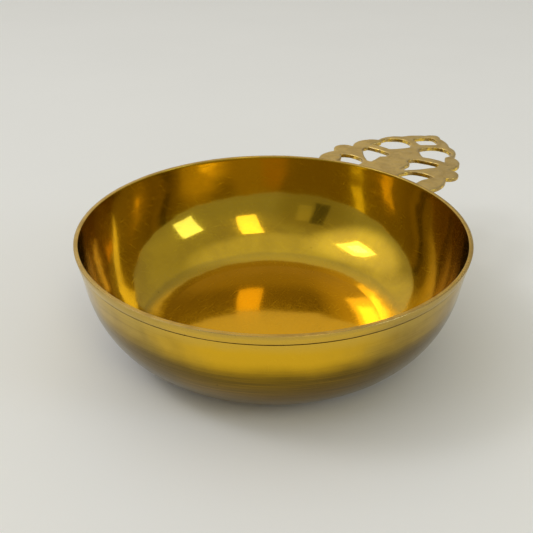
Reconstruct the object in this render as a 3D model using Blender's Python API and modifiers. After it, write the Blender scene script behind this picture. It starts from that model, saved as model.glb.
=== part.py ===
"""A brass porringer: a round turned bowl with a flat lip, and a pierced flat handle brazed to its side.

The bowl stands on the XY plane with its axis on Z. The handle points along +X.
"""
import math

import bmesh
import bpy
from mathutils import Vector

MM = 0.001

# Bowl
RIM_RADIUS = 74.0 * MM          # outer edge of the lip's flat top
BOWL_HEIGHT = 44.5 * MM
LIP_WIDTH = 1.6 * MM            # flat top of the lip, inner edge to outer edge
LIP_HEIGHT = 3.4 * MM           # from the flat top down to the turned groove
LIP_TAPER = 0.65 * MM           # how far the lip's outer face draws in by the groove
EDGE_BREAK = 0.2 * MM           # small chamfer on both edges of the lip
GROOVE_WIDTH = 0.4 * MM
GROOVE_DEPTH = 0.35 * MM
WALL_STEP = 0.3 * MM            # the wall starts this far inside the foot of the lip's face
WALL_THICKNESS = 1.7 * MM       # in the lower half of the wall
WALL_TOP_THICKNESS = 1.1 * MM   # under the lip, where turning has left the wall thinnest
THINNING_START = 14.0 * MM      # height at which the wall starts to thin
THINNING_RISE = 20.0 * MM       # it has its top thickness this far above that
WALL_LEAN = 0.85 * MM           # how far the wall leans out at the groove
LEAN_DEPTH = 8.7 * MM           # the lean starts this far below the groove
LEAN_POWER = 1.4
FLOOR_THICKNESS = 2.0 * MM
BASE_RADIUS = 39.0 * MM         # flat underside on which the bowl stands
WALL_FALL_POWER = 2.25          # superellipse powers of the wall's curve, down and in
WALL_REACH_POWER = 2.2

# Handle
HANDLE_REACH = 58.0 * MM        # rim to tip
HANDLE_HALF_WIDTH = 31.5 * MM   # centre line to the widest scallop
HANDLE_THICKNESS = 2.1 * MM
HANDLE_DROP = 0.4 * MM          # the handle's top lies this far below the lip's flat top
HANDLE_EDGE = 0.3 * MM          # softened edge all round the plate and its piercings, each way
ROOT_WEB_HALF_WIDTH = 10.4 * MM  # solid middle web where it meets the lip
FOOT_INNER = 20.7 * MM          # centre line to the inner side of each foot, at the lip
FOOT_OUTER = 28.5 * MM          # centre line to the outer side of each foot, at the lip
SEAT_CLEARANCE = 0.3 * MM       # gap between the handle's root and the lip
ROOT_OVERRUN = 4.6 * MM         # the plate is drawn this far in past the rim, then cut back by its seat

# Braze
BEAD_LEG = 1.6 * MM             # each leg of the filler's three-cornered section
BEAD_TOE = 0.32 * MM            # height of the section at its two thin ends
BEAD_HOLLOW = 0.6 * MM          # where its slanting face passes, out from the lip and down from the plate
BEAD_CLEARANCE = 0.3 * MM
BEAD_END_INSET = 0.6 * MM       # a bead stops this far inside the edges of its web or foot

# Facets
TURNING_STEPS = 72
WALL_POINTS = 15
FACET_LENGTH = 1.3 * MM         # along the handle's scallops
SHORTEST_RISE = 0.01 * MM       # a flatter arc is drawn as a straight line
WELD_DISTANCE = 0.001 * MM
SHARP_ANGLE = math.radians(40.0)
FLAT_ANGLE = math.radians(1.0)

COLLECTION_NAME = "brass_porringer"
BRASS_POLISHED = (0.62, 0.40, 0.09, 1.0)
BRASS_CAST = (0.42, 0.34, 0.20, 1.0)
BRAZE_FILLER = (0.55, 0.45, 0.26, 1.0)

lip_base_z = BOWL_HEIGHT - LIP_HEIGHT
wall_top_z = lip_base_z - GROOVE_WIDTH
wall_top_radius = RIM_RADIUS - LIP_TAPER - WALL_STEP
upright_radius = wall_top_radius - WALL_LEAN
handle_top_z = BOWL_HEIGHT - HANDLE_DROP
handle_under_z = handle_top_z - HANDLE_THICKNESS

# Scallops of the handle's edge from the tip to the foot: each corner is how far it lies
# beyond the rim and off the centre line, as shares of the reach and the half width, and the
# rise of the arc that leads on from it, as a share of the half width.
EDGE_SCALLOPS = [
    (1.000, 0.000, 0.020),
    (0.938, 0.135, 0.029),
    (0.802, 0.404, 0.070),
    (0.604, 0.628, 0.130),
    (0.337, 0.793, 0.162),
    (0.169, 0.898, 0.075),
]

# Piercings, on the same terms, each listed counterclockwise as seen from above.
TIP_HEART_HALF = [
    (0.707, 0.000, 0.004),
    (0.788, -0.200, 0.039),
    (0.914, 0.000, 0.000),
]
UPPER_PIERCING = [
    (0.464, 0.285, 0.014),
    (0.597, 0.082, 0.036),
    (0.718, 0.231, 0.044),
    (0.696, 0.485, 0.058),
    (0.566, 0.536, 0.000),
    (0.466, 0.624, -0.025),
]
MIDDLE_PIERCING = [
    (0.128, 0.248, 0.004),
    (0.272, 0.248, 0.066),
    (0.378, 0.230, 0.016),
    (0.397, 0.588, 0.040),
    (0.282, 0.547, 0.012),
    (0.152, 0.344, 0.020),
]
ROOT_ARCH_SPRING = 0.047        # height of the straight inner side of the arch, as a share of the reach
ROOT_ARCH_CROWN = (0.150, 0.516, 0.033)
ROOT_ARCH_SHOULDER = (0.121, 0.756, -0.040)
ROOT_ARCH_RISE = 0.049


def clear_scene():
    for item in list(bpy.data.objects):
        bpy.data.objects.remove(item, do_unlink=True)


def new_collection(name):
    collection = bpy.data.collections.new(name)
    bpy.context.scene.collection.children.link(collection)
    return collection


def new_metal(name, colour, roughness):
    material = bpy.data.materials.new(name)
    material.use_nodes = True
    shader = material.node_tree.nodes["Principled BSDF"]
    shader.inputs["Base Color"].default_value = colour
    shader.inputs["Roughness"].default_value = roughness
    shader.inputs["Metallic"].default_value = 1.0
    return material


def new_object(name, data, collection, material=None):
    item = bpy.data.objects.new(name, data)
    collection.objects.link(item)
    if material:
        data.materials.append(material)
    return item


def smooth_rounds(mesh):
    mesh.shade_smooth()
    mesh.set_sharp_from_angle(angle=SHARP_ANGLE)


# Bowl

def lip_face_radius(height):
    """Radius of the lip's outer face, which draws in evenly from under the flat top to the groove."""
    fall = BOWL_HEIGHT - EDGE_BREAK - height
    return RIM_RADIUS - LIP_TAPER * fall / (LIP_HEIGHT - EDGE_BREAK)


def lean(height):
    """How far the wall leans out at a height, where it never quite stands upright under the lip."""
    rise = 1.0 - (wall_top_z - height) / LEAN_DEPTH
    return WALL_LEAN * max(0.0, rise) ** LEAN_POWER


def wall_thickness(height):
    """The wall keeps its thickness up to where it starts to thin, and eases to the thinner top."""
    share = min(max((height - THINNING_START) / THINNING_RISE, 0.0), 1.0)
    ease = share * share * (3.0 - 2.0 * share)
    return WALL_THICKNESS + (WALL_TOP_THICKNESS - WALL_THICKNESS) * ease


def outer_wall():
    """(radius, height) down the outside of the wall, from below the groove to the flat base."""
    points = []
    for k in range(WALL_POINTS + 1):
        turn = math.radians(90.0) * k / WALL_POINTS
        fall = math.sin(turn) ** (2.0 / WALL_FALL_POWER)
        reach = max(math.cos(turn), 0.0) ** (2.0 / WALL_REACH_POWER)
        height = wall_top_z * (1.0 - fall)
        radius = BASE_RADIUS + (upright_radius - BASE_RADIUS) * reach + lean(height)
        points.append((radius, height))
    return points


def inner_wall():
    """(radius, height) up the inside: the outer wall moved in by its thickness, from floor to lip."""
    outer = [Vector(point) for point in outer_wall()]
    inner = []
    for k in range(WALL_POINTS):
        run = outer[k + 1] - outer[max(k - 1, 0)]
        inward = Vector((run.y, -run.x)).normalized()
        inner.append(outer[k] + inward * wall_thickness(outer[k].y))
    inner.append(Vector((BASE_RADIUS, WALL_THICKNESS)))
    above = [point for point in inner if point.y > FLOOR_THICKNESS]
    lowest, sunk = above[-1], inner[len(above)]
    floor_edge = lowest.lerp(sunk, (lowest.y - FLOOR_THICKNESS) / (lowest.y - sunk.y))
    return [floor_edge] + above[::-1]


def bowl_profile():
    """(radius, height) from the middle of the floor, up the inside, over the lip and down the outside."""
    profile = [(0.0, FLOOR_THICKNESS)]
    profile += [tuple(point) for point in inner_wall()]
    lip_inner = RIM_RADIUS - LIP_WIDTH
    profile.append((lip_inner, BOWL_HEIGHT - EDGE_BREAK))
    profile.append((lip_inner + EDGE_BREAK, BOWL_HEIGHT))
    profile.append((RIM_RADIUS - EDGE_BREAK, BOWL_HEIGHT))
    profile.append((RIM_RADIUS, BOWL_HEIGHT - EDGE_BREAK))
    profile.append((lip_face_radius(lip_base_z), lip_base_z))
    profile.append((wall_top_radius - GROOVE_DEPTH, lip_base_z - GROOVE_WIDTH * 0.5))
    profile += outer_wall()
    profile.append((0.0, 0.0))
    return profile


def make_bowl(collection, material):
    """One turned solid."""
    mesh = bpy.data.meshes.new("bowl")
    points = [(radius, 0.0, height) for radius, height in bowl_profile()]
    edges = [(k, k + 1) for k in range(len(points) - 1)]
    mesh.from_pydata(points, edges, [])
    bowl = new_object("bowl", mesh, collection, material)
    screw = bowl.modifiers.new("turning", "SCREW")
    screw.axis = "Z"
    screw.angle = math.radians(360.0)
    screw.steps = TURNING_STEPS
    screw.render_steps = TURNING_STEPS
    screw.use_merge_vertices = True
    screw.merge_threshold = WELD_DISTANCE
    screw.use_smooth_shade = True
    return bowl


# Handle

def arc_points(start, end, rise):
    """Points from start up to end, end left out, on an arc that stands out to the right by rise."""
    start, end = Vector(start), Vector(end)
    chord = end - start
    if abs(rise) < SHORTEST_RISE:
        return [start]
    right = Vector((chord.y, -chord.x)).normalized()
    radius = (chord.length ** 2 / 4.0 + rise ** 2) / (2.0 * abs(rise))
    side = math.copysign(1.0, rise)
    centre = (start + end) / 2.0 - right * side * (radius - abs(rise))
    sweep = 4.0 * math.atan(2.0 * abs(rise) / chord.length)
    count = max(2, round(radius * sweep / FACET_LENGTH))
    first = start - centre
    points = []
    for k in range(count):
        turn = side * sweep * k / count
        points.append(centre + Vector((first.x * math.cos(turn) - first.y * math.sin(turn),
                                       first.x * math.sin(turn) + first.y * math.cos(turn))))
    return points


def scalloped(corners, closed=True):
    """Points along the corners given as (x, y, rise of the arc that leads on)."""
    points = []
    pairs = zip(corners, corners[1:] + corners[:1]) if closed else zip(corners, corners[1:])
    for here, there in pairs:
        points += arc_points(here[:2], there[:2], here[2])
    if not closed:
        points.append(Vector(corners[-1][:2]))
    return points


def on_plate(corner):
    """A corner given in shares of the handle's reach and half width, in metres beyond the rim."""
    return (corner[0] * HANDLE_REACH, corner[1] * HANDLE_HALF_WIDTH, corner[2] * HANDLE_HALF_WIDTH)


def rim_setback(across):
    """How far behind the handle's zero line the rim's circle lies, at a distance off the centre line."""
    return RIM_RADIUS - math.sqrt(RIM_RADIUS ** 2 - across ** 2)


def mirrored(points):
    return [Vector((point.x, -point.y)) for point in reversed(points)]


def plate_edge():
    """The whole scalloped edge, closed by a straight line inside the lip, which the seat cuts away."""
    setback = rim_setback(FOOT_OUTER)
    corners = [on_plate(corner) for corner in EDGE_SCALLOPS]
    corners.append((-setback, FOOT_OUTER, 0.0))
    corners.append((-setback - ROOT_OVERRUN, FOOT_OUTER, 0.0))
    half = scalloped(corners, closed=False)
    return half + mirrored(half)[:-1]


def root_arch():
    """The piercing between the middle web and a foot, open towards the lip once the seat is cut."""
    web, foot = ROOT_WEB_HALF_WIDTH, FOOT_INNER
    low = -rim_setback(FOOT_OUTER) - ROOT_OVERRUN / 2.0
    corners = [
        (low, web, 0.0),
        (ROOT_ARCH_SPRING * HANDLE_REACH, web, ROOT_ARCH_RISE * HANDLE_HALF_WIDTH),
        on_plate(ROOT_ARCH_CROWN),
        on_plate(ROOT_ARCH_SHOULDER),
        (-rim_setback(foot), foot, 0.0),
        (low, foot, 0.0),
    ]
    return scalloped(corners)


def tip_heart():
    half = scalloped([on_plate(corner) for corner in TIP_HEART_HALF], closed=False)
    return half + mirrored(half)[1:-1]


def handle_loops():
    loops = [plate_edge(), tip_heart()]
    pairs = [
        root_arch(),
        scalloped([on_plate(corner) for corner in MIDDLE_PIERCING]),
        scalloped([on_plate(corner) for corner in UPPER_PIERCING]),
    ]
    for piercing in pairs:
        loops += [piercing, mirrored(piercing)]
    return loops


def flat_plate(name, loops, thickness, edge, collection, material):
    """A plate of even thickness with softened edges, inside the first loop and outside the others."""
    curve = bpy.data.curves.new(name, "CURVE")
    curve.dimensions = "2D"
    curve.fill_mode = "BOTH"
    curve.extrude = thickness / 2.0 - edge
    curve.bevel_depth = edge
    curve.bevel_resolution = 0
    curve.offset = -edge
    for loop in loops:
        spline = curve.splines.new("POLY")
        spline.points.add(len(loop) - 1)
        for point, place in zip(spline.points, loop):
            point.co = (place.x, place.y, 0.0, 1.0)
        spline.use_cyclic_u = True
    drawing = new_object(name + "_drawing", curve, collection)
    bpy.context.view_layer.update()
    evaluated = drawing.evaluated_get(bpy.context.evaluated_depsgraph_get())
    mesh = bpy.data.meshes.new_from_object(evaluated)
    mesh.name = name
    bpy.data.objects.remove(drawing, do_unlink=True)
    weld = bmesh.new()
    weld.from_mesh(mesh)
    bmesh.ops.remove_doubles(weld, verts=weld.verts, dist=WELD_DISTANCE)
    bmesh.ops.dissolve_limit(weld, angle_limit=FLAT_ANGLE, verts=weld.verts, edges=weld.edges)
    weld.to_mesh(mesh)
    weld.free()
    smooth_rounds(mesh)
    return new_object(name, mesh, collection, material)


def make_seat_cutter(collection):
    """A cone with the lip's own taper, larger by the clearance, that shapes the handle's root."""
    top_z = BOWL_HEIGHT + HANDLE_THICKNESS
    bottom_z = handle_under_z - HANDLE_THICKNESS
    cone = bmesh.new()
    bmesh.ops.create_cone(
        cone, cap_ends=True, segments=TURNING_STEPS, depth=top_z - bottom_z,
        radius1=lip_face_radius(bottom_z) + SEAT_CLEARANCE,
        radius2=lip_face_radius(top_z) + SEAT_CLEARANCE)
    mesh = bpy.data.meshes.new("seat_cutter")
    cone.to_mesh(mesh)
    cone.free()
    cutter = new_object("seat_cutter", mesh, collection)
    cutter.location = (0.0, 0.0, (top_z + bottom_z) / 2.0)
    cutter.hide_render = True
    cutter.display_type = "WIRE"
    return cutter


def make_handle(parts, cutters, material):
    """The pierced plate, with its root hollowed to the lip."""
    handle = flat_plate(
        "handle", handle_loops(), HANDLE_THICKNESS, HANDLE_EDGE, parts, material)
    handle.location = (RIM_RADIUS, 0.0, (handle_top_z + handle_under_z) / 2.0)
    seat = handle.modifiers.new("seat", "BOOLEAN")
    seat.operation = "DIFFERENCE"
    seat.solver = "EXACT"
    seat.object = make_seat_cutter(cutters)
    return handle


# Braze

def make_bead(name, inner_side, outer_side, collection, material):
    """Filler in the corner under the handle, along the lip between two distances off the centre line."""
    top_z = handle_under_z - BEAD_CLEARANCE
    face_radius = lip_face_radius(top_z) + BEAD_CLEARANCE
    low_z = top_z - BEAD_LEG
    low_radius = lip_face_radius(lip_base_z) + BEAD_CLEARANCE
    section = [
        (face_radius, top_z),
        (low_radius, low_z),
        (low_radius + BEAD_TOE, low_z),
        (face_radius + BEAD_HOLLOW, top_z - BEAD_HOLLOW),
        (face_radius + BEAD_LEG, top_z - BEAD_TOE),
        (face_radius + BEAD_LEG, top_z),
    ]
    start = math.asin(inner_side / RIM_RADIUS)
    end = math.asin(outer_side / RIM_RADIUS)
    bead = bmesh.new()
    corners = [bead.verts.new((r * math.cos(start), r * math.sin(start), z)) for r, z in section]
    face = bead.faces.new(corners)
    steps = max(2, math.ceil((end - start) * TURNING_STEPS / math.radians(360.0)))
    bmesh.ops.spin(
        bead, geom=[face] + list(face.edges) + list(face.verts), cent=(0.0, 0.0, 0.0),
        axis=(0.0, 0.0, 1.0), angle=end - start, steps=steps, use_duplicate=False)
    bmesh.ops.recalc_face_normals(bead, faces=bead.faces)
    mesh = bpy.data.meshes.new(name)
    bead.to_mesh(mesh)
    bead.free()
    smooth_rounds(mesh)
    return new_object(name, mesh, collection, material)


def make_beads(collection, material):
    web = ROOT_WEB_HALF_WIDTH - BEAD_END_INSET
    near, far = FOOT_INNER + BEAD_END_INSET, FOOT_OUTER - BEAD_END_INSET
    return [
        make_bead("braze_bead_middle", -web, web, collection, material),
        make_bead("braze_bead_left", near, far, collection, material),
        make_bead("braze_bead_right", -far, -near, collection, material),
    ]


def main():
    clear_scene()
    parts = new_collection(COLLECTION_NAME)
    cutters = new_collection("cutters")
    base = bpy.data.objects.new("stands_here", None)
    parts.objects.link(base)
    bowl = make_bowl(parts, new_metal("polished_brass", BRASS_POLISHED, 0.18))
    handle = make_handle(parts, cutters, new_metal("cast_brass", BRASS_CAST, 0.42))
    beads = make_beads(parts, new_metal("braze_filler", BRAZE_FILLER, 0.5))
    for piece in [bowl, handle] + beads:
        piece.parent = base
    print("bowl %.1f mm across, %.1f mm high, %.1f mm long over the handle" % (
        2.0 * RIM_RADIUS / MM, BOWL_HEIGHT / MM, (2.0 * RIM_RADIUS + HANDLE_REACH) / MM))
    print("inside, the floor is %.1f mm across" % (2.0 * inner_wall()[0][0] / MM))


main()
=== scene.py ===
# %% [markdown]
# # A brass porringer: a turned bowl with a pierced, cast handle
# A porringer is a shallow bowl that is carried by one flat handle. This one is all brass. The bowl
# was turned on a lathe, the handle was cast flat and cleaned up with files, and three runs of
# brazing metal hold the two together. The scene keeps the sizes of the solid model that it loads
# and gives every piece the surface that it has in the hand.

# %% Load the solid model
import math
import bmesh
import bpy
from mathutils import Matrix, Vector


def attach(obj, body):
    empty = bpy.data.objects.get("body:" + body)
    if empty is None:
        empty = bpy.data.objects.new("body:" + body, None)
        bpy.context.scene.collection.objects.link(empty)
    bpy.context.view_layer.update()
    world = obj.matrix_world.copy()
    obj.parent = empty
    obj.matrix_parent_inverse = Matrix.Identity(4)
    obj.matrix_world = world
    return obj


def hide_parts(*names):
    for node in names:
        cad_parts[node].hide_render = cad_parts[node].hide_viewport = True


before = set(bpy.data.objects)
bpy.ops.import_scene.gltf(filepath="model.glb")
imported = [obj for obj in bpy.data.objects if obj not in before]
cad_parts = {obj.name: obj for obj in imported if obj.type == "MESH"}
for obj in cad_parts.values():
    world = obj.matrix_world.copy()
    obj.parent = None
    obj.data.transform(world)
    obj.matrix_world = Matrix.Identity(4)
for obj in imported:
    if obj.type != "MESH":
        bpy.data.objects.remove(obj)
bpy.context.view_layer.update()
MM = 0.001
print("nodes:", sorted(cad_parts))

# %% [markdown]
# ## The bowl
# A turned bowl is one closed section carried round an axis, so it is modelled the way the lathe
# makes it. One vertex is extruded from point to point along half of the section, and the line is
# then spun round the upright axis. Drawing the section first keeps the wall's thickness, the
# floor and the lip under control, which pulling a sphere into shape wouldn't.

# %% Sizes of the bowl's section
BOWL_HEIGHT = 44.5 * MM
RIM_RADIUS = 74.0 * MM
LIP_WIDTH = 1.6 * MM
LIP_BASE = 41.1 * MM
LIP_BASE_RADIUS = 73.35 * MM
WALL_TOP = 40.7 * MM
WALL_TOP_RADIUS = 72.2 * MM
WALL_LEAN = 0.85 * MM
LEAN_START = 32.0 * MM
LEAN_POWER = 1.4
WALL_THICKNESS = 1.7 * MM
FLOOR_THICKNESS = 2.0 * MM
BASE_RADIUS = 39.0 * MM
GROOVE_DEPTH = 0.35 * MM
FALL_POWER = 2.25
REACH_POWER = 2.2
INNER_START = 2.44 * MM     # the curve of the upper inside: height and radius at its foot,
INNER_RADIUS = 45.34 * MM
INNER_RISE = 17.4 * MM      # how fast it climbs, how far it spreads, and its power
INNER_SPREAD = 28.62 * MM
INNER_POWER = 0.621
EASE_START = 14.0 * MM      # the lower inside goes over into that curve from here
EASE_RISE = 12.0 * MM
SLOPE_STEP = 0.002          # share of the wall over which its slope is taken


def lean(height):
    """How far the wall leans out under the lip, where it never quite stands upright."""
    return WALL_LEAN * max(0.0, (height - LEAN_START) / (WALL_TOP - LEAN_START)) ** LEAN_POWER


def wall_point(share):
    """(radius, height) on the outside of the wall: 0 is under the lip, 1 is at the flat base."""
    turn = math.radians(90.0) * share
    reach = max(math.cos(turn), 0.0) ** (2.0 / REACH_POWER)
    height = WALL_TOP * (1.0 - math.sin(turn) ** (2.0 / FALL_POWER))
    return Vector((BASE_RADIUS + (WALL_TOP_RADIUS - BASE_RADIUS) * reach + lean(height), height))


def inner_radius(height):
    """The inside of the wall in its upper half: it eases towards the lip without a flare."""
    rise = max(0.0, 1.0 - math.exp(-(height - INNER_START) / INNER_RISE))
    return INNER_RADIUS + INNER_SPREAD * rise ** INNER_POWER


def inner_point(share):
    """The same place on the inside, one wall thickness in, blended into the upper curve."""
    run = wall_point(min(share + SLOPE_STEP, 1.0)) - wall_point(max(share - SLOPE_STEP, 0.0))
    inward = Vector((run.y, -run.x)).normalized()
    point = wall_point(share) + inward * WALL_THICKNESS
    upper = min(max((point.y - EASE_START) / EASE_RISE, 0.0), 1.0)
    upper = upper * upper * (3.0 - 2.0 * upper)
    return Vector((point.x + (inner_radius(point.y) - point.x) * upper, point.y))


# %% The section's points
WALL_STEPS = 64
FLOOR_STEPS = 9
NECK_STEPS = 8
BASE_STEPS = 6
FLOOR_EDGE = 43.8 * MM
GROOVE_FLANK = 0.08 * MM    # how much shallower the groove is at its two sides
GROOVE_SIDE = 0.1 * MM      # and how far they lie inside its edges
outer_wall = [wall_point(k / WALL_STEPS) for k in range(WALL_STEPS + 1)]
inner_wall = [inner_point(k / WALL_STEPS) for k in range(1, WALL_STEPS)]
inner_wall = [point for point in inner_wall if point.y > FLOOR_THICKNESS][::-1]
floor_rings = [Vector((FLOOR_EDGE * k / FLOOR_STEPS, FLOOR_THICKNESS))
               for k in range(FLOOR_STEPS + 1)]
neck_base = inner_wall[-1].y
neck_heights = [neck_base + (BOWL_HEIGHT - neck_base) * k / NECK_STEPS
                for k in range(1, NECK_STEPS)]
neck = [Vector((inner_radius(height), height)) for height in neck_heights]
lip = [Vector((RIM_RADIUS - LIP_WIDTH, BOWL_HEIGHT)),
       Vector((RIM_RADIUS, BOWL_HEIGHT)),
       Vector((LIP_BASE_RADIUS, LIP_BASE))]
groove_radius = WALL_TOP_RADIUS + WALL_LEAN - GROOVE_DEPTH
groove = [Vector((groove_radius + GROOVE_FLANK, LIP_BASE - GROOVE_SIDE)),
          Vector((groove_radius, (LIP_BASE + WALL_TOP) / 2)),
          Vector((groove_radius + GROOVE_FLANK, WALL_TOP + GROOVE_SIDE))]
base_rings = [Vector((BASE_RADIUS * k / BASE_STEPS, 0.0)) for k in range(BASE_STEPS - 1, -1, -1)]
section = floor_rings + inner_wall + neck + lip + groove + outer_wall + base_rings
print("points in the section:", len(section))

# %% [markdown]
# The section is drawn by hand's own steps: a small plane is merged to one vertex, which is
# extruded from each point to the next. Spin then turns the line through a full circle, merging
# the doubles closes the seam and the two poles, and the normals are recalculated because a spin
# can leave the shell inside out.

# %% Draw the section and spin it
SPIN_STEPS = 256
SEAM_MERGE = 0.002 * MM


def start_at(place, name):
    """A plane at its place, merged to one vertex, left in edit mode with that vertex selected."""
    bpy.ops.object.select_all(action="DESELECT")
    bpy.ops.mesh.primitive_plane_add(size=1.0 * MM, location=place)
    piece = bpy.context.active_object
    piece.name = name
    piece.data.name = name
    bpy.ops.object.transform_apply(location=True)
    bpy.ops.object.mode_set(mode="EDIT")
    bpy.ops.mesh.select_mode(type="VERT")
    bpy.ops.mesh.select_all(action="SELECT")
    bpy.ops.mesh.merge(type="CENTER")
    return piece


bowl = start_at((section[0].x, 0.0, section[0].y), "turned_bowl")
for here, there in zip(section, section[1:]):
    step = (there.x - here.x, 0.0, there.y - here.y)
    bpy.ops.mesh.extrude_region_move(TRANSFORM_OT_translate={"value": step})
bpy.ops.mesh.select_all(action="SELECT")
bpy.ops.mesh.spin(steps=SPIN_STEPS, angle=math.tau, center=(0, 0, 0), axis=(0, 0, 1))
bpy.ops.mesh.select_all(action="SELECT")
bpy.ops.mesh.remove_doubles(threshold=SEAM_MERGE)
bpy.ops.mesh.normals_make_consistent(inside=False)
print("bowl after the spin:", len(bmesh.from_edit_mesh(bowl.data).faces), "faces")

# %% [markdown]
# A lathe tool leaves crisp corners that the polishing wheel then breaks. The ring edges at the
# lip are picked out by their radius and height and given a small round bevel. That thin round is
# what catches the light along the rim.

# %% Break the lip's corners
EDGE_BREAK = 0.22 * MM


def select_rings(piece, rings, slack=0.01 * MM):
    """Selects the ring edges that run round the axis at the given (radius, height) places."""
    bpy.ops.mesh.select_all(action="DESELECT")
    bpy.ops.mesh.select_mode(type="EDGE")
    shape = bmesh.from_edit_mesh(piece.data)

    def on_ring(vertex, ring):
        radius = vertex.co.xy.length
        return abs(radius - ring[0]) < slack and abs(vertex.co.z - ring[1]) < slack

    for edge in shape.edges:
        if any(all(on_ring(v, ring) for v in edge.verts) for ring in rings):
            edge.select_set(True)
    bmesh.update_edit_mesh(piece.data)
    return sum(edge.select for edge in shape.edges)


picked = select_rings(bowl, [tuple(point) for point in lip])
bpy.ops.mesh.bevel(offset=EDGE_BREAK, segments=3, affect="EDGES")
bpy.ops.object.mode_set(mode="OBJECT")
print("edges bevelled:", picked, "- faces now:", len(bowl.data.polygons))

# %% [markdown]
# Polished hollow ware is never a perfect surface of revolution: it has seen knocks, and the
# polishing wheel digs a little deeper in some places than in others. Reflections in a mirror
# finish show even a tenth of a millimetre of this, so the waviness is real geometry. A Displace
# modifier moves the surface by a soft cloud pattern and is applied.

# %% Give the metal its waviness
BOWL_WAVES = ((22.0 * MM, 0.16 * MM), (7.0 * MM, 0.05 * MM))     # pattern size, depth
SMOOTH_ANGLE = math.radians(30.0)


def work_on(piece):
    """Leaves this piece alone selected and active."""
    bpy.ops.object.select_all(action="DESELECT")
    piece.select_set(True)
    bpy.context.view_layer.objects.active = piece


def make_uneven(piece, pattern_size, depth):
    """Moves the surface in and out by a cloud pattern, depth from lowest to highest."""
    pattern = bpy.data.textures.new(piece.name + "_unevenness", "CLOUDS")
    pattern.noise_scale = pattern_size
    pattern.noise_depth = 1
    work_on(piece)
    uneven = piece.modifiers.new("unevenness", "DISPLACE")
    uneven.texture = pattern
    uneven.texture_coords = "LOCAL"
    uneven.strength = depth
    uneven.mid_level = 0.5
    bpy.ops.object.modifier_apply(modifier=uneven.name)


for pattern_size, depth in BOWL_WAVES:
    make_uneven(bowl, pattern_size, depth)
bpy.ops.object.shade_smooth_by_angle(angle=SMOOTH_ANGLE)
print("bowl triangles:", sum(len(p.vertices) - 2 for p in bowl.data.polygons))

# %% [markdown]
# ## The handle
# The handle is a flat sand casting, sawn and filed through. Its outline and piercings are already
# right in the solid model, but a casting has no knife edges. A copy of the solid's mesh is merged,
# rebuilt with small even faces by a voxel Remesh, and then relaxed by a Smooth modifier, which
# rounds each edge as a file and a polishing mop do. A little unevenness makes the sawn walls
# glint in spots instead of as one strip.

# %% Round off the casting
CAST_GRAIN = 0.32 * MM
CAST_RELAXING = 6
CAST_WAVES = (2.6 * MM, 0.12 * MM)
NODE_MERGE = 0.001 * MM


def rebuilt(node, name, grain, relaxing):
    """A copy of a solid's mesh with small even faces and softened edges."""
    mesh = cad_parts[node].data.copy()
    mesh.name = name
    mesh.materials.clear()
    piece = bpy.data.objects.new(name, mesh)
    bpy.context.scene.collection.objects.link(piece)
    work_on(piece)
    bpy.ops.object.mode_set(mode="EDIT")
    bpy.ops.mesh.select_all(action="SELECT")
    bpy.ops.mesh.remove_doubles(threshold=NODE_MERGE)
    bpy.ops.object.mode_set(mode="OBJECT")
    even = piece.modifiers.new("even_faces", "REMESH")
    even.mode = "VOXEL"
    even.voxel_size = grain
    bpy.ops.object.modifier_apply(modifier=even.name)
    soft = piece.modifiers.new("softened_edges", "SMOOTH")
    soft.factor = 0.5
    soft.iterations = relaxing
    bpy.ops.object.modifier_apply(modifier=soft.name)
    return piece


handle = rebuilt("handle", "pierced_handle", CAST_GRAIN, CAST_RELAXING)
make_uneven(handle, *CAST_WAVES)
print("handle faces:", len(handle.data.polygons))

# %% [markdown]
# In the solid model the handle's feet stand a hair away from the lip, because two solids may not
# share a face. On the real piece the joint is closed, so the feet are drawn in against the lip.
# Proportional editing lets the metal behind them follow.

# %% Close the joint at the lip
SEAT_GAP = 0.38 * MM
SEAT_REACH = 0.55 * MM      # vertices this close to the rim are the seat
SEAT_FOLLOW = 2.0 * MM


def pick_vertices(piece, wanted):
    """Enters edit mode and selects the vertices whose distance from the axis passes the test."""
    work_on(piece)
    bpy.ops.object.mode_set(mode="EDIT")
    bpy.ops.mesh.select_all(action="DESELECT")
    bpy.ops.mesh.select_mode(type="VERT")
    shape = bmesh.from_edit_mesh(piece.data)
    for vertex in shape.verts:
        if wanted(vertex.co.xy.length):
            vertex.select_set(True)
    bmesh.update_edit_mesh(piece.data)
    return shape


shape = pick_vertices(handle, lambda radius: radius < RIM_RADIUS + SEAT_REACH)
print("vertices at the joint:", sum(v.select for v in shape.verts))
bpy.ops.transform.translate(value=(-SEAT_GAP, 0, 0), use_proportional_edit=True,
                            proportional_edit_falloff="SMOOTH", proportional_size=SEAT_FOLLOW)
bpy.ops.object.mode_set(mode="OBJECT")
bpy.ops.object.shade_smooth()

# %% [markdown]
# A handle is held by eye while it is brazed, so it seldom comes out dead straight. This one stands
# two degrees round from the line through the bowl's axis. Only the metal beyond the feet is turned
# and the necks follow by proportional editing, so the joint stays where it is.

# %% Turn the handle on its feet
HANDLE_TURN = math.radians(2.0)
NECK_LENGTH = 9.0 * MM


def tip_offset(shape):
    """How far the tip lies off the bowl's XZ plane, in mm."""
    tip = max((vertex.co for vertex in shape.verts), key=lambda place: place.x)
    return round(tip.y / MM, 2)


shape = pick_vertices(handle, lambda radius: radius > RIM_RADIUS + NECK_LENGTH)
before = tip_offset(shape)
bpy.ops.transform.rotate(value=-HANDLE_TURN, orient_axis="Z",
                         center_override=(RIM_RADIUS, 0.0, BOWL_HEIGHT),
                         use_proportional_edit=True, proportional_edit_falloff="SMOOTH",
                         proportional_size=NECK_LENGTH)
after = tip_offset(bmesh.from_edit_mesh(handle.data))
bpy.ops.object.mode_set(mode="OBJECT")
print("tip across the axis, mm:", before, "->", after)

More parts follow.
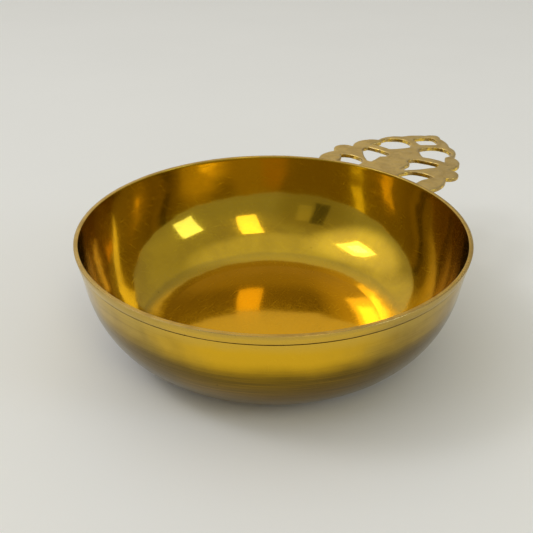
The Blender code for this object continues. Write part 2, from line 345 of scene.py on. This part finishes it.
# %% [markdown]
# ## The brazing
# Filler metal ran into the corner under each foot of the handle and froze there in a hollow
# fillet. Each run is a copy of the solid's bead, swollen until it wets the wall and the handle,
# with an uneven skin. The three runs are made by the same function and each keeps its own mesh.

# %% Swell the three runs of filler
FILLER_GRAIN = 0.16 * MM
FILLER_RELAXING = 12
FILLER_SWELL = 0.45 * MM
FILLER_WAVES = (2.4 * MM, 0.22 * MM)


def run_of_filler(node, name):
    """One run of filler, made from a bead of the solid model."""
    piece = rebuilt(node, name, FILLER_GRAIN, FILLER_RELAXING)
    swell = piece.modifiers.new("swelling", "DISPLACE")
    swell.strength = FILLER_SWELL
    swell.mid_level = 0.0
    bpy.ops.object.modifier_apply(modifier=swell.name)
    make_uneven(piece, *FILLER_WAVES)
    bpy.ops.object.shade_smooth()
    return piece


filler_runs = {node: run_of_filler(node, node.replace("bead", "run"))
               for node in ("braze_bead_left", "braze_bead_middle", "braze_bead_right")}
print("filler faces:", {name: len(run.data.polygons) for name, run in filler_runs.items()})

# %% [markdown]
# ## Finishes
# All the metal is brass, but each surface was left by a different tool. Seven effects recur, and
# each is built once as a node group: the fine rings that turning and polishing leave round the
# axis, the slow browning of old brass, small dark specks, hairline scratches, wear and painted
# shade that depend on height, the walls of the piercings with their painted glints, and a painted
# sheen on the side that faces the camera. A material then places the groups with its own values.

# %% Helpers for nodes


def add_node(tree, kind, inputs=None, **settings):
    """A node with its settings, and with each input set to a value or linked to an output."""
    node = tree.nodes.new("ShaderNode" + kind)
    for name, value in settings.items():
        setattr(node, name, value)
    for socket, value in (inputs or {}).items():
        if isinstance(value, bpy.types.NodeSocket):
            tree.links.new(value, node.inputs[socket])
        else:
            node.inputs[socket].default_value = value
    return node


def calc(tree, operation, *values):
    return add_node(tree, "Math", dict(enumerate(values)), operation=operation).outputs[0]


def spread(tree, value, low, high, to_low=0.0, to_high=1.0):
    """Moves the range low to high onto to_low to to_high, with soft ends."""
    return add_node(tree, "MapRange", {0: value, 1: low, 2: high, 3: to_low, 4: to_high},
                    interpolation_type="SMOOTHSTEP").outputs[0]


def blend(tree, factor, first, second):
    return add_node(tree, "Mix", {0: factor, 6: first, 7: second}, data_type="RGBA").outputs[2]


def object_place(tree):
    return add_node(tree, "TexCoord").outputs["Object"]


def per_mm(tree, size):
    """The texture scale at which one cell of a pattern is this many millimetres wide."""
    return calc(tree, "DIVIDE", 1.0 / MM, size)


def round_axis(tree, place):
    """The distance of a place from the upright axis, and the unit vector that leads there."""
    parts = add_node(tree, "SeparateXYZ", {0: place}).outputs
    flat = add_node(tree, "CombineXYZ", {0: parts[0], 1: parts[1], 2: 0.0}).outputs[0]
    radius = add_node(tree, "VectorMath", {0: flat}, operation="LENGTH").outputs["Value"]
    return radius, add_node(tree, "VectorMath", {0: flat}, operation="NORMALIZE").outputs[0]


def new_group(name, inputs, outputs):
    """An empty node group with its sockets, given as (name, default) and (name, is colour)."""
    tree = bpy.data.node_groups.new(name, "ShaderNodeTree")
    for label, default in inputs:
        kind = "NodeSocketColor" if isinstance(default, tuple) else "NodeSocketFloat"
        socket = tree.interface.new_socket(label, in_out="INPUT", socket_type=kind)
        socket.default_value = default
    for label, is_colour in outputs:
        kind = "NodeSocketColor" if is_colour else "NodeSocketFloat"
        tree.interface.new_socket(label, in_out="OUTPUT", socket_type=kind)
    return tree, tree.nodes.new("NodeGroupInput").outputs, tree.nodes.new("NodeGroupOutput")


def use_group(tree, group, **values):
    """Places a group; an underscore in a value's name stands for a space in the socket's."""
    node = tree.nodes.new("ShaderNodeGroup")
    node.node_tree = group
    for label, value in values.items():
        socket = node.inputs[label.replace("_", " ")]
        if isinstance(value, bpy.types.NodeSocket):
            tree.links.new(value, socket)
        else:
            socket.default_value = value
    return node.outputs


# %% [markdown]
# **Turning marks.** Radius plus height grows steadily along the whole section, inside and out.
# Noise that is fine along that sum and slow round the axis gives rings that start, fade and wander
# as real ones do. The direction round the axis enters as a unit vector, so there is no seam.

# %% Group: turning marks
turning_marks, given, result = new_group(
    "turning_marks", [("Rings per mm", 3.0), ("Wander", 2.0)], [("Marks", False)])
place = object_place(turning_marks)
parts = add_node(turning_marks, "SeparateXYZ", {0: place}).outputs
radius, around = round_axis(turning_marks, place)
around = add_node(turning_marks, "SeparateXYZ", {0: around}).outputs
along = calc(turning_marks, "MULTIPLY", calc(turning_marks, "ADD", radius, parts[2]), 1.0 / MM)
along = calc(turning_marks, "MULTIPLY", along, given["Rings per mm"])
swept = add_node(turning_marks, "CombineXYZ", {
    0: along,
    1: calc(turning_marks, "MULTIPLY", around[0], given["Wander"]),
    2: calc(turning_marks, "MULTIPLY", around[1], given["Wander"])}).outputs[0]
rings = add_node(turning_marks, "TexNoise", {"Vector": swept, "Scale": 1.0, "Detail": 3.0})
turning_marks.links.new(rings.outputs[0], result.inputs["Marks"])
print("group:", turning_marks.name)

# %% [markdown]
# **Tarnish.** Brass browns in soft-edged clouds where hands and air have reached it. The group
# mixes a clean and an aged colour by a cloud pattern and also puts out where the age is, so that
# the roughness can follow it.

# %% Group: tarnish
tarnish, given, result = new_group(
    "tarnish",
    [("Clean", (0.7, 0.5, 0.1, 1.0)), ("Aged", (0.4, 0.3, 0.1, 1.0)), ("Clouds mm", 15.0),
     ("Amount", 0.5)],
    [("Color", True), ("Age", False)])
place = object_place(tarnish)
size = per_mm(tarnish, given["Clouds mm"])
clouds = add_node(tarnish, "TexNoise", {"Vector": place, "Scale": size, "Detail": 6.0,
                                        "Roughness": 0.62, "Distortion": 0.35}).outputs[0]
age = calc(tarnish, "MULTIPLY", spread(tarnish, clouds, 0.38, 0.66), given["Amount"])
colour = blend(tarnish, age, given["Clean"], given["Aged"])
tarnish.links.new(colour, result.inputs["Color"])
tarnish.links.new(age, result.inputs["Age"])
print("group:", tarnish.name)

# %% [markdown]
# **Specks.** Casting pores and old spots are small dark dots at random places, most of them
# missing. Each cell of a Voronoi pattern may hold one dot, and the cell's random colour decides
# whether it does and how large it is.

# %% Group: specks
specks, given, result = new_group(
    "specks", [("Spacing mm", 4.0), ("Size", 0.1), ("Share", 0.3)], [("Specks", False)])
place = object_place(specks)
size = per_mm(specks, given["Spacing mm"])
cells = add_node(specks, "TexVoronoi", {"Vector": place, "Scale": size})
chance = add_node(specks, "SeparateColor", {0: cells.outputs["Color"]}).outputs
kept = calc(specks, "LESS_THAN", chance[0], given["Share"])
reach = calc(specks, "MULTIPLY", given["Size"], spread(specks, chance[1], 0.0, 1.0, 0.4, 1.0))
near = calc(specks, "SUBTRACT", 1.0, calc(specks, "DIVIDE", cells.outputs["Distance"], reach))
dot = spread(specks, near, 0.0, 0.5)
specks.links.new(calc(specks, "MULTIPLY", dot, kept), result.inputs["Specks"])
print("group:", specks.name)

# %% [markdown]
# **Hairlines.** Years of wiping leave fine straight scratches in a few directions. A noise pattern
# that is stretched hard in one direction and cut off near its top gives short thin lines. Three
# of them, turned against each other, are added up.

# %% Group: hairlines
hairlines, given, result = new_group(
    "hairlines", [("Lines per mm", 3.0), ("Length", 18.0)], [("Hairlines", False)])
place = object_place(hairlines)
total = None
for turn in ((0.3, 0.5, 0.4), (1.2, 0.2, 1.5), (0.8, 1.1, 2.6)):
    turned = add_node(hairlines, "Mapping", {"Vector": place, "Rotation": turn}).outputs[0]
    fine = calc(hairlines, "MULTIPLY", given["Lines per mm"], 1.0 / MM)
    slow = calc(hairlines, "DIVIDE", fine, given["Length"])
    stretch = add_node(hairlines, "CombineXYZ", {0: fine, 1: slow, 2: slow}).outputs[0]
    run = add_node(hairlines, "VectorMath", {0: turned, 1: stretch}, operation="MULTIPLY")
    streak = add_node(hairlines, "TexNoise", {"Vector": run.outputs[0], "Scale": 1.0,
                                              "Detail": 1.0}).outputs[0]
    line = spread(hairlines, streak, 0.64, 0.76)
    total = line if total is None else calc(hairlines, "MAXIMUM", total, line)
hairlines.links.new(total, result.inputs["Hairlines"])
print("group:", hairlines.name)

# %% [markdown]
# ** Height zone.** Some colour depends on how high a place is: the lip is worn dull, while the
# lower outside and a narrow ring low on the inside are painted dark as painted reflections. The
# group compares the height with two levels and lets noise fray the border. With the first level
# above the second, the zone lies below them.

# %% Group: height zone
height_zone, given, result = new_group(
    "height_zone", [("From mm", 0.0), ("To mm", 1.0), ("Fray mm", 0.5), ("Fray size mm", 14.0)],
    [("Zone", False)])
place = object_place(height_zone)
size = per_mm(height_zone, given["Fray size mm"])
frayed = add_node(height_zone, "TexNoise", {"Vector": place, "Scale": size, "Detail": 4.0})
shift = calc(height_zone, "MULTIPLY", calc(height_zone, "SUBTRACT", frayed.outputs[0], 0.5),
             calc(height_zone, "MULTIPLY", given["Fray mm"], 2.0))
level = calc(height_zone, "MULTIPLY",
             add_node(height_zone, "SeparateXYZ", {0: place}).outputs[2], 1.0 / MM)
level = calc(height_zone, "ADD", level, shift)
zone = spread(height_zone, level, given["From mm"], given["To mm"])
height_zone.links.new(zone, result.inputs["Zone"])
print("group:", height_zone.name)

# %% [markdown]
# ** Sawn walls and glints.** The upright walls of a piercing are coloured darker, and bright spots
# are painted on them as painted glints. A face counts as a wall where its normal lies nearly level,
# and soft noise says where the painted glints go.

# %% Group: sawn walls and painted glints
sawn_walls_and_glints, given, result = new_group(
    "sawn_walls_and_glints", [("Tilt", 0.75), ("Spots mm", 2.0)], [("Walls", False), ("Painted glints", False)])
place = object_place(sawn_walls_and_glints)
size = per_mm(sawn_walls_and_glints, given["Spots mm"])
spots = add_node(sawn_walls_and_glints, "TexNoise", {"Vector": place, "Scale": size, "Detail": 2.0})
painted_glints = spread(sawn_walls_and_glints, spots.outputs[0], 0.40, 0.68)
sawn_walls_and_glints.links.new(painted_glints, result.inputs["Painted glints"])
facing = add_node(sawn_walls_and_glints, "NewGeometry").outputs["Normal"]
upward = calc(sawn_walls_and_glints, "ABSOLUTE", add_node(sawn_walls_and_glints, "SeparateXYZ", {0: facing}).outputs[2])
wall = spread(sawn_walls_and_glints, upward, given["Tilt"], calc(sawn_walls_and_glints, "SUBTRACT", given["Tilt"], 0.35))
sawn_walls_and_glints.links.new(wall, result.inputs["Walls"])
print("group:", sawn_walls_and_glints.name)

# %% [markdown]
# ** Painted sheen.** The side of the bowl that faces the camera is painted brighter and more golden,
# a painted reflection. The group compares the way round the axis with the middle of that side, and
# noise keeps its border from running straight up the wall.

# %% Group: painted sheen on the camera side
camera_side_sheen, given, result = new_group(
    "camera_side_sheen", [("Toward X", -1.0), ("Toward Y", 0.0), ("From", 0.82), ("To", 0.99)],
    [("Painted sheen", False)])
place = object_place(camera_side_sheen)
around = round_axis(camera_side_sheen, place)[1]
toward = add_node(camera_side_sheen, "CombineXYZ", {0: given["Toward X"], 1: given["Toward Y"], 2: 0.0})
facing = add_node(camera_side_sheen, "VectorMath", {0: around, 1: toward.outputs[0]},
                  operation="DOT_PRODUCT").outputs["Value"]
border = add_node(camera_side_sheen, "TexNoise", {"Vector": place, "Scale": 0.05 / MM, "Detail": 3.0})
facing = calc(camera_side_sheen, "ADD", facing,
              calc(camera_side_sheen, "MULTIPLY", calc(camera_side_sheen, "SUBTRACT", border.outputs[0], 0.5),
                   0.2))
painted_sheen = spread(camera_side_sheen, facing, given["From"], given["To"])
camera_side_sheen.links.new(painted_sheen, result.inputs["Painted sheen"])
print("group:", camera_side_sheen.name)

# %% [markdown]
# ## One recipe for brass
# Every brass finish here is the same metal with different wear, so one function places the
# groups. The Principled shader stays in the material itself. Metallic is one, the colour is what
# a mirror of this brass would return, and the roughness is low where the metal is clean. Rings
# and scratches also feed a Bump node whose height is a few thousandths of a millimetre.

# %% The recipe
RING_WANDER = 2.5
SPECK_SPACING_MM = 3.5
SPECK_SIZE = 0.1
SPECK_DEPTH = 5.0           # of the specks' pits, in the same thousandths of a mm as the rings'
HAIRLINES_PER_MM = 5.0
HAIRLINE_LENGTH = 40.0      # in widths
GRAIN_PER_MM = 9.0
WALL_TILT = 0.8
WALL_SPOTS_MM = 2.2
STREAK_RANGE = (0.45, 0.65)     # where in the rings' noise the aged colour sets in,
ZONE_RANGE = (0.3, 0.7)         # where a zone shows fully, and how much it shows at least
ZONE_LEAST = 0.8
MARK_RANGE = (0.35, 0.75)       # where the rings and where the finest grain turn rougher
GRAIN_RANGE = (0.5, 0.6)
SPECK_HAZE = 0.4
SPECK_SHADE = 0.35              # how light a speck is beside the aged metal
BUMP_UNIT = 0.001 * MM


def brass(name, clean, aged, clouds, amount, smooth, rough, rings=2.0, ring_depth=0.0,
          ring_haze=0.05, ring_tone=0.0, speck_share=0.1, scratch=0.1, haze=0.0,
          coat=(0.0, 0.03), zones=(), walls=None, painted_sheen=None):
    """A brass finish. Sizes are in mm; smooth and rough are the roughness of clean and aged metal.

    ring_tone is how far the rings take the aged colour, and haze how much rougher the finest
    grain is than the metal between it. coat is (share, roughness) of the clear lacquer, a zone
    (from mm, to mm, fray mm, colour, roughness, strength), walls (dark colour, colour of the
    painted glints, roughness), and painted_sheen (towards X, towards Y, colour) of the side painted
    brighter.
    """
    material = bpy.data.materials.new(name)
    material.use_nodes = True
    tree = material.node_tree
    shader = tree.nodes["Principled BSDF"]
    marks = use_group(tree, turning_marks, Rings_per_mm=rings, Wander=RING_WANDER)["Marks"]
    aging = use_group(tree, tarnish, Clean=(*clean, 1.0), Aged=(*aged, 1.0), Clouds_mm=clouds,
                      Amount=amount)
    dots = use_group(tree, specks, Spacing_mm=SPECK_SPACING_MM, Size=SPECK_SIZE,
                     Share=speck_share)["Specks"]
    lines = use_group(tree, hairlines, Lines_per_mm=HAIRLINES_PER_MM,
                      Length=HAIRLINE_LENGTH)["Hairlines"]
    streaks = spread(tree, marks, *STREAK_RANGE, 0.0, ring_tone)
    colour = blend(tree, streaks, aging["Color"], (*aged, 1.0))
    base = add_node(tree, "MapRange", {0: aging["Age"], 1: 0.0, 2: 1.0, 3: smooth, 4: rough})
    roughness = base.outputs[0]
    if painted_sheen:
        share = use_group(tree, camera_side_sheen, Toward_X=painted_sheen[0], Toward_Y=painted_sheen[1])["Painted sheen"]
        colour = blend(tree, share, colour, (*painted_sheen[2], 1.0))
    for low, high, fray, tint, matt, strength in zones:
        zone = use_group(tree, height_zone, From_mm=low, To_mm=high, Fray_mm=fray)["Zone"]
        patchy = spread(tree, marks, *ZONE_RANGE, ZONE_LEAST * strength, strength)
        share = calc(tree, "MULTIPLY", zone, patchy)
        colour = blend(tree, share, colour, (*tint, 1.0))
        roughness = add_node(tree, "Mix", {0: share, 2: roughness, 3: matt}).outputs[0]
    if walls:
        sides = use_group(tree, sawn_walls_and_glints, Tilt=WALL_TILT, Spots_mm=WALL_SPOTS_MM)
        painted_glints = blend(tree, sides["Painted glints"], (*walls[0], 1.0), (*walls[1], 1.0))
        colour = blend(tree, sides["Walls"], colour, painted_glints)
        roughness = add_node(tree, "Mix", {0: sides["Walls"], 2: roughness, 3: walls[2]}).outputs[0]
    dark = tuple(channel * SPECK_SHADE for channel in aged) + (1.0,)
    tree.links.new(blend(tree, dots, colour, dark), shader.inputs["Base Color"])
    place = object_place(tree)
    grain = add_node(tree, "TexNoise", {"Vector": place, "Scale": GRAIN_PER_MM / MM, "Detail": 0.0})
    for extra in (spread(tree, marks, *MARK_RANGE, 0.0, ring_haze),
                  spread(tree, grain.outputs[0], *GRAIN_RANGE, 0.0, haze),
                  calc(tree, "MULTIPLY", lines, scratch),
                  calc(tree, "MULTIPLY", dots, SPECK_HAZE)):
        roughness = calc(tree, "ADD", roughness, extra)
    tree.links.new(roughness, shader.inputs["Roughness"])
    height = calc(tree, "MULTIPLY", marks, ring_depth)
    height = calc(tree, "SUBTRACT", height, calc(tree, "MULTIPLY", lines, scratch))
    height = calc(tree, "SUBTRACT", height, calc(tree, "MULTIPLY", dots, SPECK_DEPTH))
    bump = add_node(tree, "Bump", {"Height": height, "Distance": BUMP_UNIT, "Strength": 1.0})
    tree.links.new(bump.outputs[0], shader.inputs["Normal"])
    shader.inputs["Metallic"].default_value = 1.0
    shader.inputs["Coat Weight"].default_value = coat[0]
    shader.inputs["Coat Roughness"].default_value = coat[1]
    return material


# %% [markdown]
# The inside is a golden mirror under a thin clear lacquer. It is browner high on the wall, and a
# faint dark ring is painted where the wall turns into the floor, a painted reflection. The outside
# was polished in rings round the axis; the side that faces the camera is painted brighter, a
# painted sheen, and the lower outside is painted dark, a painted dark reflection. The groove under
# the lip is dark. The handle's top is dull, and its brown walls carry bright painted glints.

# %% The six finishes
GOLD = (0.65, 0.415, 0.012)
inside_finish = brass("brass_polished_inside", GOLD, (0.46, 0.28, 0.010), 24.0, 0.6,
                      0.035, 0.10, rings=1.5, ring_depth=1.5, ring_haze=0.04, scratch=0.12,
                      haze=0.10, coat=(0.45, 0.07),
                      zones=[(14.0, 21.0, 2.0, (0.50, 0.325, 0.009), 0.05, 0.85),
                             # This zone paints a narrow dark ring where the wall meets the floor: a
                             # painted reflection.
                             (5.0, 4.1, 0.5, (0.38, 0.25, 0.02), 0.12, 0.55),
                             (4.5, 2.2, 0.4, (0.66, 0.395, 0.006), 0.06, 0.85)])
outside_finish = brass("brass_polished_outside", (0.54, 0.36, 0.045), (0.36, 0.23, 0.025), 26.0,
                       0.85, 0.06, 0.13, rings=2.5, ring_depth=5.0, ring_haze=0.06,
                       ring_tone=0.55, scratch=0.1, haze=0.06,
                       # The side toward the camera is painted brighter and more golden: a painted
                       # sheen.
                       painted_sheen=(-0.78, -0.63, (0.82, 0.48, 0.018)),
                       zones=[(36.0, 40.5, 2.0, (0.66, 0.46, 0.09), 0.20, 0.5),
                              # This zone paints the lower outside dark: a painted dark reflection.
                              (33.5, 25.0, 2.0, (0.12, 0.074, 0.005), 0.14, 0.94),
                              (42.3, 44.3, 0.5, (0.50, 0.34, 0.08), 0.24, 0.75)])
rim_finish = brass("brass_worn_rim", (0.58, 0.41, 0.14), (0.44, 0.29, 0.08), 7.0, 0.8,
                   0.22, 0.40, rings=3.0, ring_depth=4.0, scratch=0.15)
groove_finish = brass("brass_dark_groove", (0.20, 0.12, 0.03), (0.10, 0.06, 0.02), 3.0, 0.9,
                      0.45, 0.7)
handle_finish = brass("brass_cast_handle", (0.63, 0.48, 0.22), (0.50, 0.37, 0.16), 7.0, 0.9,
                      0.30, 0.44, speck_share=0.25, scratch=0.15,
                      # The walls' second colour is painted bright glints.
                      walls=((0.46, 0.31, 0.10), (0.96, 0.66, 0.10), 0.26))
filler_finish = brass("brass_filler", (0.50, 0.38, 0.15), (0.32, 0.23, 0.08), 3.0, 0.9,
                      0.26, 0.5, speck_share=0.3, scratch=0.1)
print("finishes:", [material.name for material in bpy.data.materials if "brass_" in material.name])

# %% [markdown]
# ## Put the finishes on
# The bowl takes four of them. Its faces are selected by where they are: everything that looks
# inwards, the lip's flat top, the groove, and the outside.

# %% Finish the bowl
INWARD = -0.02              # the normal's share along the way out from the axis
FLOOR_FACING = 0.5          # the normal's upward share on the floor and on the lip's top
TOP_FACING = 0.6
TOP_DEPTH = 0.3 * MM
GROOVE_SLACK = 0.04 * MM


def assign_faces(piece, material, wanted):
    """Gives the faces whose centre and normal pass the test a material of their own."""
    piece.data.materials.append(material)
    work_on(piece)
    piece.active_material_index = len(piece.data.materials) - 1
    bpy.ops.object.mode_set(mode="EDIT")
    bpy.ops.mesh.select_mode(type="FACE")
    bpy.ops.mesh.select_all(action="DESELECT")
    shape = bmesh.from_edit_mesh(piece.data)
    for face in shape.faces:
        face.select_set(wanted(face.calc_center_median(), face.normal))
    count = sum(face.select for face in shape.faces)
    bmesh.update_edit_mesh(piece.data)
    bpy.ops.object.material_slot_assign()
    bpy.ops.object.mode_set(mode="OBJECT")
    return count


def looks_in(centre, normal):
    outward = Vector((centre.x, centre.y, 0.0)).normalized()
    on_floor = normal.z > FLOOR_FACING and centre.z < 0.5 * BOWL_HEIGHT
    return normal.dot(outward) < INWARD or on_floor


def on_top(centre, normal):
    return normal.z > TOP_FACING and centre.z > BOWL_HEIGHT - TOP_DEPTH


def in_groove(centre, normal):
    return WALL_TOP < centre.z < LIP_BASE - GROOVE_SLACK and not looks_in(centre, normal)


print("outside:", assign_faces(bowl, outside_finish, lambda centre, normal: True))
print("inside:", assign_faces(bowl, inside_finish, looks_in))
print("lip's top:", assign_faces(bowl, rim_finish, on_top))
print("groove:", assign_faces(bowl, groove_finish, in_groove))
handle.data.materials.append(handle_finish)
for run in filler_runs.values():
    run.data.materials.append(filler_finish)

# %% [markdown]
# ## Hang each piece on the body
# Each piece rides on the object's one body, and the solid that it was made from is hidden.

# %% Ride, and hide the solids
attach(bowl, "root")
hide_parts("bowl")
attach(handle, "root")
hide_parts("handle")
for node, run in filler_runs.items():
    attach(run, "root")
    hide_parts(node)
print("pieces:", [piece.name for piece in (bowl, handle, *filler_runs.values())])

# %% [markdown]
# ## Floor, light and camera
# The bowl stands on a plain pale floor that runs far past the picture. Mirror-finished metal
# shows its surroundings, so they matter more than usual: the world is pale at the horizon and
# overhead, brighter behind the bowl, with a warm patch low in that glow, and round the main panel,
# and dimmest beside the camera, where two upright cards break it up. Four soft panels are its
# windows.

# %% Floor
FLOOR_RADIUS = 6.0
FLOOR_DROP = 0.05 * MM      # keeps the floor clear of the bowl's underside
bpy.ops.object.select_all(action="DESELECT")
bpy.ops.mesh.primitive_circle_add(vertices=96, radius=FLOOR_RADIUS, fill_type="NGON",
                                  location=(0.0, 0.0, -FLOOR_DROP))
floor = bpy.context.active_object
floor.name = "floor"
paper = bpy.data.materials.new("pale_floor")
paper.use_nodes = True
tree = paper.node_tree
place = object_place(tree)
mottle = add_node(tree, "TexNoise", {"Vector": place, "Scale": 9.0, "Detail": 3.0}).outputs[0]
tone = blend(tree, mottle, (0.89, 0.905, 0.935, 1.0), (0.92, 0.935, 0.965, 1.0))
tree.links.new(tone, tree.nodes["Principled BSDF"].inputs["Base Color"])
tree.nodes["Principled BSDF"].inputs["Roughness"].default_value = 0.85
tree.nodes["Principled BSDF"].inputs["Specular IOR Level"].default_value = 0.2
floor.data.materials.append(paper)

# %% World
HORIZON = (0.60, 0.60, 0.57, 1.0)
MIDDLE = (0.43, 0.415, 0.36, 1.0)
ZENITH = (0.70, 0.69, 0.65, 1.0)
HORIZON_FADE = (0.02, 0.14)     # heights as sines, where the horizon goes over into the middle
ZENITH_FADE = (0.80, 0.93)
GLOWS = (       # azimuth, elevation, cosines where it starts and where it is full, colour
    (100.0, 22.0, 0.85, 0.97, (0.33, 0.30, 0.20, 1.0)),
    (332.0, 36.0, 0.82, 0.96, (0.75, 0.73, 0.68, 1.0)),
    (308.5, 34.0, 0.95, 0.99, (0.86, 0.68, 0.24, 1.0)),
    (42.0, 46.0, 0.83, 0.96, (1.1, 1.09, 1.06, 1.0)))
CARDS = (       # azimuth, elevation, width and height in degrees, colour
    (94.5, 25.0, 10.0, 24.0, (0.11, 0.10, 0.07, 1.0)),
    (106.0, 26.0, 8.0, 18.0, (0.47, 0.43, 0.28, 1.0)))
CARD_EDGE = 0.01            # softness of a card's edge, as a sine
world = bpy.data.worlds.new("studio")
bpy.context.scene.world = world
world.use_nodes = True
tree = world.node_tree
direction = add_node(tree, "TexCoord").outputs["Generated"]
parts = add_node(tree, "SeparateXYZ", {0: direction}).outputs


def facing_way(azimuth, elevation):
    """The unit vector that points that way. Azimuth is turned from the +Y axis, in degrees."""
    turn, rise = math.radians(azimuth), math.radians(elevation)
    return Vector((-math.sin(turn) * math.cos(rise), math.cos(turn) * math.cos(rise),
                   math.sin(rise)))


def glow(azimuth, elevation, start, full):
    """One round the given direction, nothing away from it; start and full are cosines."""
    near = add_node(tree, "VectorMath", {0: direction, 1: facing_way(azimuth, elevation)},
                    operation="DOT_PRODUCT").outputs["Value"]
    return spread(tree, near, start, full)


def card(azimuth, elevation, width, height):
    """One on a soft-edged rectangle in the given direction, its width and height in degrees."""
    ahead = facing_way(azimuth, elevation)
    across = facing_way(azimuth + 90.0, 0.0)
    share = glow(azimuth, elevation, 0.5, 0.6)
    for side, size in ((across, width), (ahead.cross(across), height)):
        off = calc(tree, "ABSOLUTE", add_node(tree, "VectorMath", {0: direction, 1: side},
                                              operation="DOT_PRODUCT").outputs["Value"])
        edge = math.sin(math.radians(size / 2.0))
        share = calc(tree, "MULTIPLY", share, spread(tree, off, edge + CARD_EDGE, edge - CARD_EDGE))
    return share


upper = blend(tree, spread(tree, parts[2], *ZENITH_FADE), MIDDLE, ZENITH)
for *where, colour in GLOWS:
    upper = blend(tree, glow(*where), upper, colour)
for *where, colour in CARDS:
    upper = blend(tree, card(*where), upper, colour)
sky = blend(tree, spread(tree, parts[2], *HORIZON_FADE), HORIZON, upper)
tree.links.new(sky, tree.nodes["Background"].inputs["Color"])
tree.nodes["Background"].inputs["Strength"].default_value = 1.0
print("world:", len(GLOWS), "glows and", len(CARDS), "cards")

# %% Soft panels
PANEL_DISTANCE = 1.2
PANELS = (      # name, azimuth, elevation, width, height, radiance, colour
    ("panel_left", 40.5, 50.0, 18.0, 18.0, 2.7, (0.97, 0.98, 1.0)),
    ("panel_left_core", 41.0, 50.0, 9.0, 9.0, 4.5, (1.0, 0.99, 0.97)),
    ("panel_right", 196.5, 27.0, 15.0, 20.0, 3.0, (0.66, 0.80, 1.0)),
    ("panel_front", 150.0, 46.0, 12.5, 29.0, 2.3, (1.0, 0.86, 0.40)))


def panel(name, azimuth, elevation, width, height, radiance, colour):
    """A rectangular lamp that faces the bowl. Angles in degrees, width and height too."""
    way = facing_way(azimuth, elevation)
    lamp = bpy.data.lights.new(name, "AREA")
    lamp.shape = "RECTANGLE"
    lamp.size = 2.0 * PANEL_DISTANCE * math.tan(math.radians(width) / 2.0)
    lamp.size_y = 2.0 * PANEL_DISTANCE * math.tan(math.radians(height) / 2.0)
    lamp.energy = radiance * math.pi * lamp.size * lamp.size_y
    lamp.color = colour
    holder = bpy.data.objects.new(name, lamp)
    holder.location = way * PANEL_DISTANCE
    holder.rotation_euler = way.to_track_quat("Z", "Y").to_euler()
    bpy.context.scene.collection.objects.link(holder)
    print(name, "watts:", round(lamp.energy, 2))


for values in PANELS:
    panel(*values)

# %% Camera
EYE_PLACE = (-0.19619, -0.15881, 0.1685)
EYE_TILT = 60.65
EYE_HEADING = -50.45
eye = bpy.data.cameras.new("camera")
eye.lens = 50.0
eye.sensor_width = 36.0
camera = bpy.data.objects.new("camera", eye)
camera.location = EYE_PLACE
camera.rotation_euler = (math.radians(EYE_TILT), 0.0, math.radians(EYE_HEADING))
bpy.context.scene.collection.objects.link(camera)
bpy.context.scene.camera = camera
bpy.context.scene.view_settings.view_transform = "Standard"
